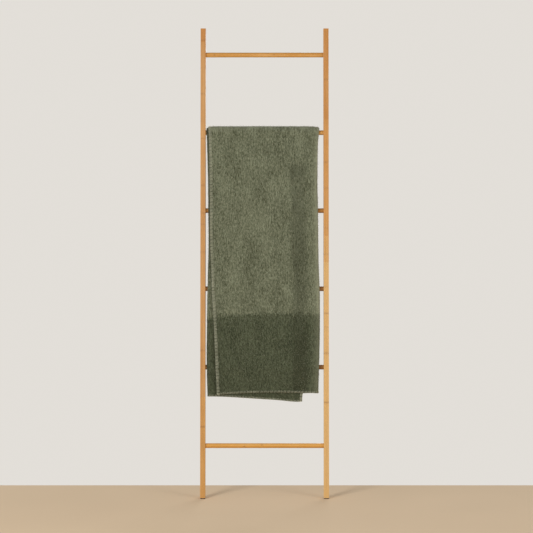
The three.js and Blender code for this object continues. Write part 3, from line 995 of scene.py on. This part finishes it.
def grow_fibres(rng, points, normals, places):
    """Root, middle and tip of each fibre."""
    out = value_at(normals, *places)
    out /= np.linalg.norm(out, axis=1, keepdims=True)
    root = value_at(points, *places) + out * (CLOTH / 2 - FIBRE_ROOT)
    length = rng.uniform(0.0022, 0.0062, (FIBRES, 1))
    lean = rng.normal(0, 0.55, (FIBRES, 3)) + [0, 0, -0.15]
    middle = root + length * 0.5 * (out + lean * 0.5)
    tip = root + length * (out * rng.uniform(0.45, 0.95, (FIBRES, 1)) + lean * 0.9)
    for end in (root, middle, tip):
        end[:, 0] = np.clip(end[:, 0], *FUZZ_REACH)
    return root, middle, tip


def spindles(root, middle, tip):
    """Points and faces of the fibres: each is a small triangle with a point at either end."""
    side = np.cross(tip - root, [0.2, 0.3, 0.9])
    side /= np.maximum(np.linalg.norm(side, axis=1, keepdims=True), 1e-9)
    other = np.cross(tip - root, side)
    other /= np.maximum(np.linalg.norm(other, axis=1, keepdims=True), 1e-9)
    ring = [middle + FIBRE_RADIUS * (side * math.cos(a) + other * math.sin(a)) for a in THIRDS]
    start = np.arange(len(root))[:, None, None] * 5
    faces = np.array([[0, 2, 1], [0, 3, 2], [0, 1, 3], [4, 1, 2], [4, 2, 3], [4, 3, 1]])
    return np.stack([root, *ring, tip], axis=1).reshape(-1, 3), (start + faces[None]).reshape(-1, 3)


def fibre_map(count):
    """A map for baking: each fibre has one small place, which its faces share, as it has one colour."""
    cells = math.ceil(math.sqrt(count))
    cell = np.stack(np.divmod(np.arange(count), cells), axis=1)[:, None, None]
    corner = np.array([[0.12, 0.12], [0.88, 0.12], [0.12, 0.88]])
    return (cell + np.broadcast_to(corner, (count, 6, 3, 2))) / cells


def make_fuzz(points, normals, across, along, nap, material):
    """Loose fibres brushed up from the outer face: bent spindles, thin at both ends."""
    rng = np.random.default_rng(11)
    places = pick_places(rng, points, across, along)
    ends = grow_fibres(rng, points, normals, places)
    # no fibre grows where it would go into a rung
    free = clear_of_rungs(*ends)
    ends, places = [end[free] for end in ends], [part[free] for part in places]
    count = len(ends[0])
    piece = mesh_piece("wool_fuzz", *spindles(*ends), material)
    flat = [value_at(part[..., None], *places) for part in (across, along)]
    flat = np.concatenate([*flat, np.full((count, 1), 0.5)], axis=1)
    keep_values(piece, "cloth", "FLOAT_VECTOR", np.repeat(flat, 5, axis=0))
    # each fibre takes the painted shade of the cloth where it grows, and elsewhere a painted highlight
    own = value_at(nap[..., None], *places)
    keep_values(piece, "nap", "FLOAT", np.repeat(np.where(own < 0, own, 1.0), 5, axis=0))
    keep_map(piece, fibre_map(count))
    return piece


# ---------------------------------------------------------------- floor

def make_floor():
    """A plain pale floor that ends where the wall would stand."""
    s = Shader("floor")
    place = s.node("TexCoord").outputs["Object"]
    cloudy = s.noise(place, 1.1, 2.0)
    s.set(Base_Color=s.mix(s.between(cloudy, 0.3, 0.7), (0.735, 0.572, 0.395), (0.775, 0.605, 0.42)))
    s.set(Roughness=0.9, Specular_IOR_Level=0.1)
    front, width = -5.2, 3.2
    corners = [(-width, front, 0), (width, front, 0), (width, WALL_Y, 0), (-width, WALL_Y, 0)]
    floor = mesh_piece("floor", corners, [(0, 1, 2, 3)], s.material, smooth=False)


# ---------------------------------------------------------------- put together

def paint(node, material):
    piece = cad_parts[node]
    piece.data.materials.clear()
    piece.data.materials.append(material)


# (height up the rail where a strip starts, its colour)
LEFT_STRIPS = [
    (-1.0, (0.700, 0.370, 0.097)), (0.381, (0.618, 0.322, 0.102)), (1.657, (0.596, 0.246, 0.042)),
]
RIGHT_STRIPS = [
    (-1.0, (0.818, 0.518, 0.190)), (0.905, (0.682, 0.329, 0.080)), (1.360, (0.606, 0.259, 0.050)),
]
LEFT_NODES = (0.266, 0.562, 0.944, 1.096, 1.279, 1.454, 1.664)
RIGHT_NODES = (0.360, 0.551, 0.706, 0.936, 1.193, 1.516, 1.742)
RUNG_NODES = {1: (-0.146, 0.087), 2: (-0.195, 0.03), 3: (-0.09, 0.215), 4: (0.01, 0.22), 5: (-0.15, 0.12),
              6: (-0.218, 0.0055)}
# colours of the dowels; rungs 3 to 5 are darkened as painted shade, for the shade they lie in where the
# throw hangs in front of them
RUNG_COLOURS_WITH_PAINTED_SHADE = {
    1: (0.580, 0.268, 0.045), 2: (0.600, 0.285, 0.050), 3: (0.412, 0.177, 0.025),
    4: (0.310, 0.124, 0.016), 5: (0.255, 0.099, 0.012), 6: (0.690, 0.335, 0.056),
}


def paint_ladder():
    paint("left_rail", rail_bamboo("left", LEFT_STRIPS, LEFT_NODES, 1.0))
    paint("right_rail", rail_bamboo("right", RIGHT_STRIPS, RIGHT_NODES, 6.0))
    steel = metal("bolt_steel", (0.62, 0.62, 0.61), (0.38, 0.37, 0.36), 0.32)
    brass = metal("insert_brass", (0.70, 0.55, 0.25), (0.48, 0.36, 0.16), 0.34)
    pad, bumper = rubber(), felt()
    for number in RUNGS:
        rung(number, dowel_bamboo(number, RUNG_COLOURS_WITH_PAINTED_SHADE[number], RUNG_NODES[number]))
        for side in SIDES:
            paint(f"bolt_{side}_{number}", steel)
            paint(f"insert_{side}_{number}", brass)
    for side in SIDES:
        paint(f"foot_pad_{side}", pad)
        paint(f"wall_bumper_{side}", bumper)


def hang_throw():
    cloth = wool()
    throw, points, normals, across, along, nap = make_throw(cloth)
    stitches = make_stitches(points, normals, yarn())
    fuzz = make_fuzz(points, normals, across, along, nap, cloth)
    for piece in (throw, stitches, fuzz):
        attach(piece, "throw")
    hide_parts("throw")


make_camera()
make_light()
make_floor()
paint_ladder()
hang_throw()
